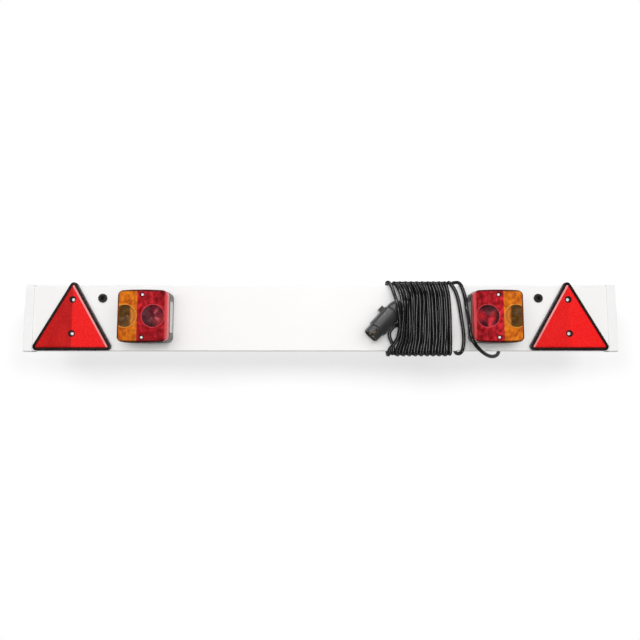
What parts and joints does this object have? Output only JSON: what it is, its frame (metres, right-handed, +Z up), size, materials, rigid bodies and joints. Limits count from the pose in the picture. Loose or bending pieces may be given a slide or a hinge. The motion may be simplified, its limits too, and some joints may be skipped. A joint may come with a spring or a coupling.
{
  "type": "trailer lighting board",
  "caption": "Hollow white trailer lighting board with combination rear lamps, red warning triangles, rubber-lined fixing holes and a black cable wound round it to a round plug.",
  "frame": {"origin": "on the plank's back face, midway between its two fixing holes", "axes": "+X along the plank to the right as seen from the front, the lamps face -Y, +Z up"},
  "size_m": [1.22, 0.1266, 0.1601],
  "materials": {
    "board_white": "white satin extruded plastic",
    "cap_white": "white satin moulded plastic",
    "black_rubber": "black rubber",
    "black_plastic": "black moulded plastic",
    "reflector_red": "red prismatic reflector",
    "lens_red": "red see-through lens",
    "lens_amber": "amber see-through lens",
    "lamp_grey": "dark grey moulded plastic",
    "window_clear": "clear ribbed plastic window",
    "bulb_glass": "clear bulb glass",
    "brass": "plain brass",
    "zinc_steel": "zinc-plated steel",
    "rivet_aluminium": "bright aluminium",
    "cable_black": "black flexible sheath",
    "wire": "insulated wire",
    "plug_insert": "black contact carrier"
  },
  "bodies": {
    "root": {"amber_lens_left": "lens_amber", "amber_lens_right": "lens_amber", "board_panel": "board_white", "cable_exit_grommet": "black_rubber", "cable_inlet": "cable_black", "cable_tail": "cable_black", "cable_winding": "cable_black", "end_cap_left": "cap_white", "end_cap_right": "cap_white", "fixing_bush_left": "black_rubber", "fixing_bush_right": "black_rubber", "lamp_base_left": "lamp_grey", "lamp_base_right": "lamp_grey", "lamp_bolts": "zinc_steel", "lamp_gasket_left": "black_rubber", "lamp_gasket_right": "black_rubber", "lamp_nuts": "zinc_steel", "lamp_washers": "zinc_steel", "lamp_wires_left": "wire", "lamp_wires_right": "wire", "lens_screws": "zinc_steel", "link_cable": "cable_black", "link_grommets": "black_rubber", "main_cable_grommet": "black_rubber", "plate_window_left": "window_clear", "plate_window_right": "window_clear", "plug_body": "black_plastic", "plug_cable_end": "cable_black", "plug_insert": "plug_insert", "plug_pins": "brass", "plug_rear_cap": "black_plastic", "red_lens_left": "lens_red", "red_lens_right": "lens_red", "reflector_frame_left": "black_plastic", "reflector_frame_right": "black_plastic", "reflector_lens_left": "reflector_red", "reflector_lens_right": "reflector_red", "reflector_rivets": "rivet_aluminium", "stop_bulb_cap_left": "brass", "stop_bulb_cap_right": "brass", "stop_bulb_glass_left": "bulb_glass", "stop_bulb_glass_right": "bulb_glass", "stop_bulb_holder_left": "zinc_steel", "stop_bulb_holder_right": "zinc_steel", "turn_bulb_cap_left": "brass", "turn_bulb_cap_right": "brass", "turn_bulb_glass_left": "bulb_glass", "turn_bulb_glass_right": "bulb_glass", "turn_bulb_holder_left": "zinc_steel", "turn_bulb_holder_right": "zinc_steel"}
  },
  "joints": []
}
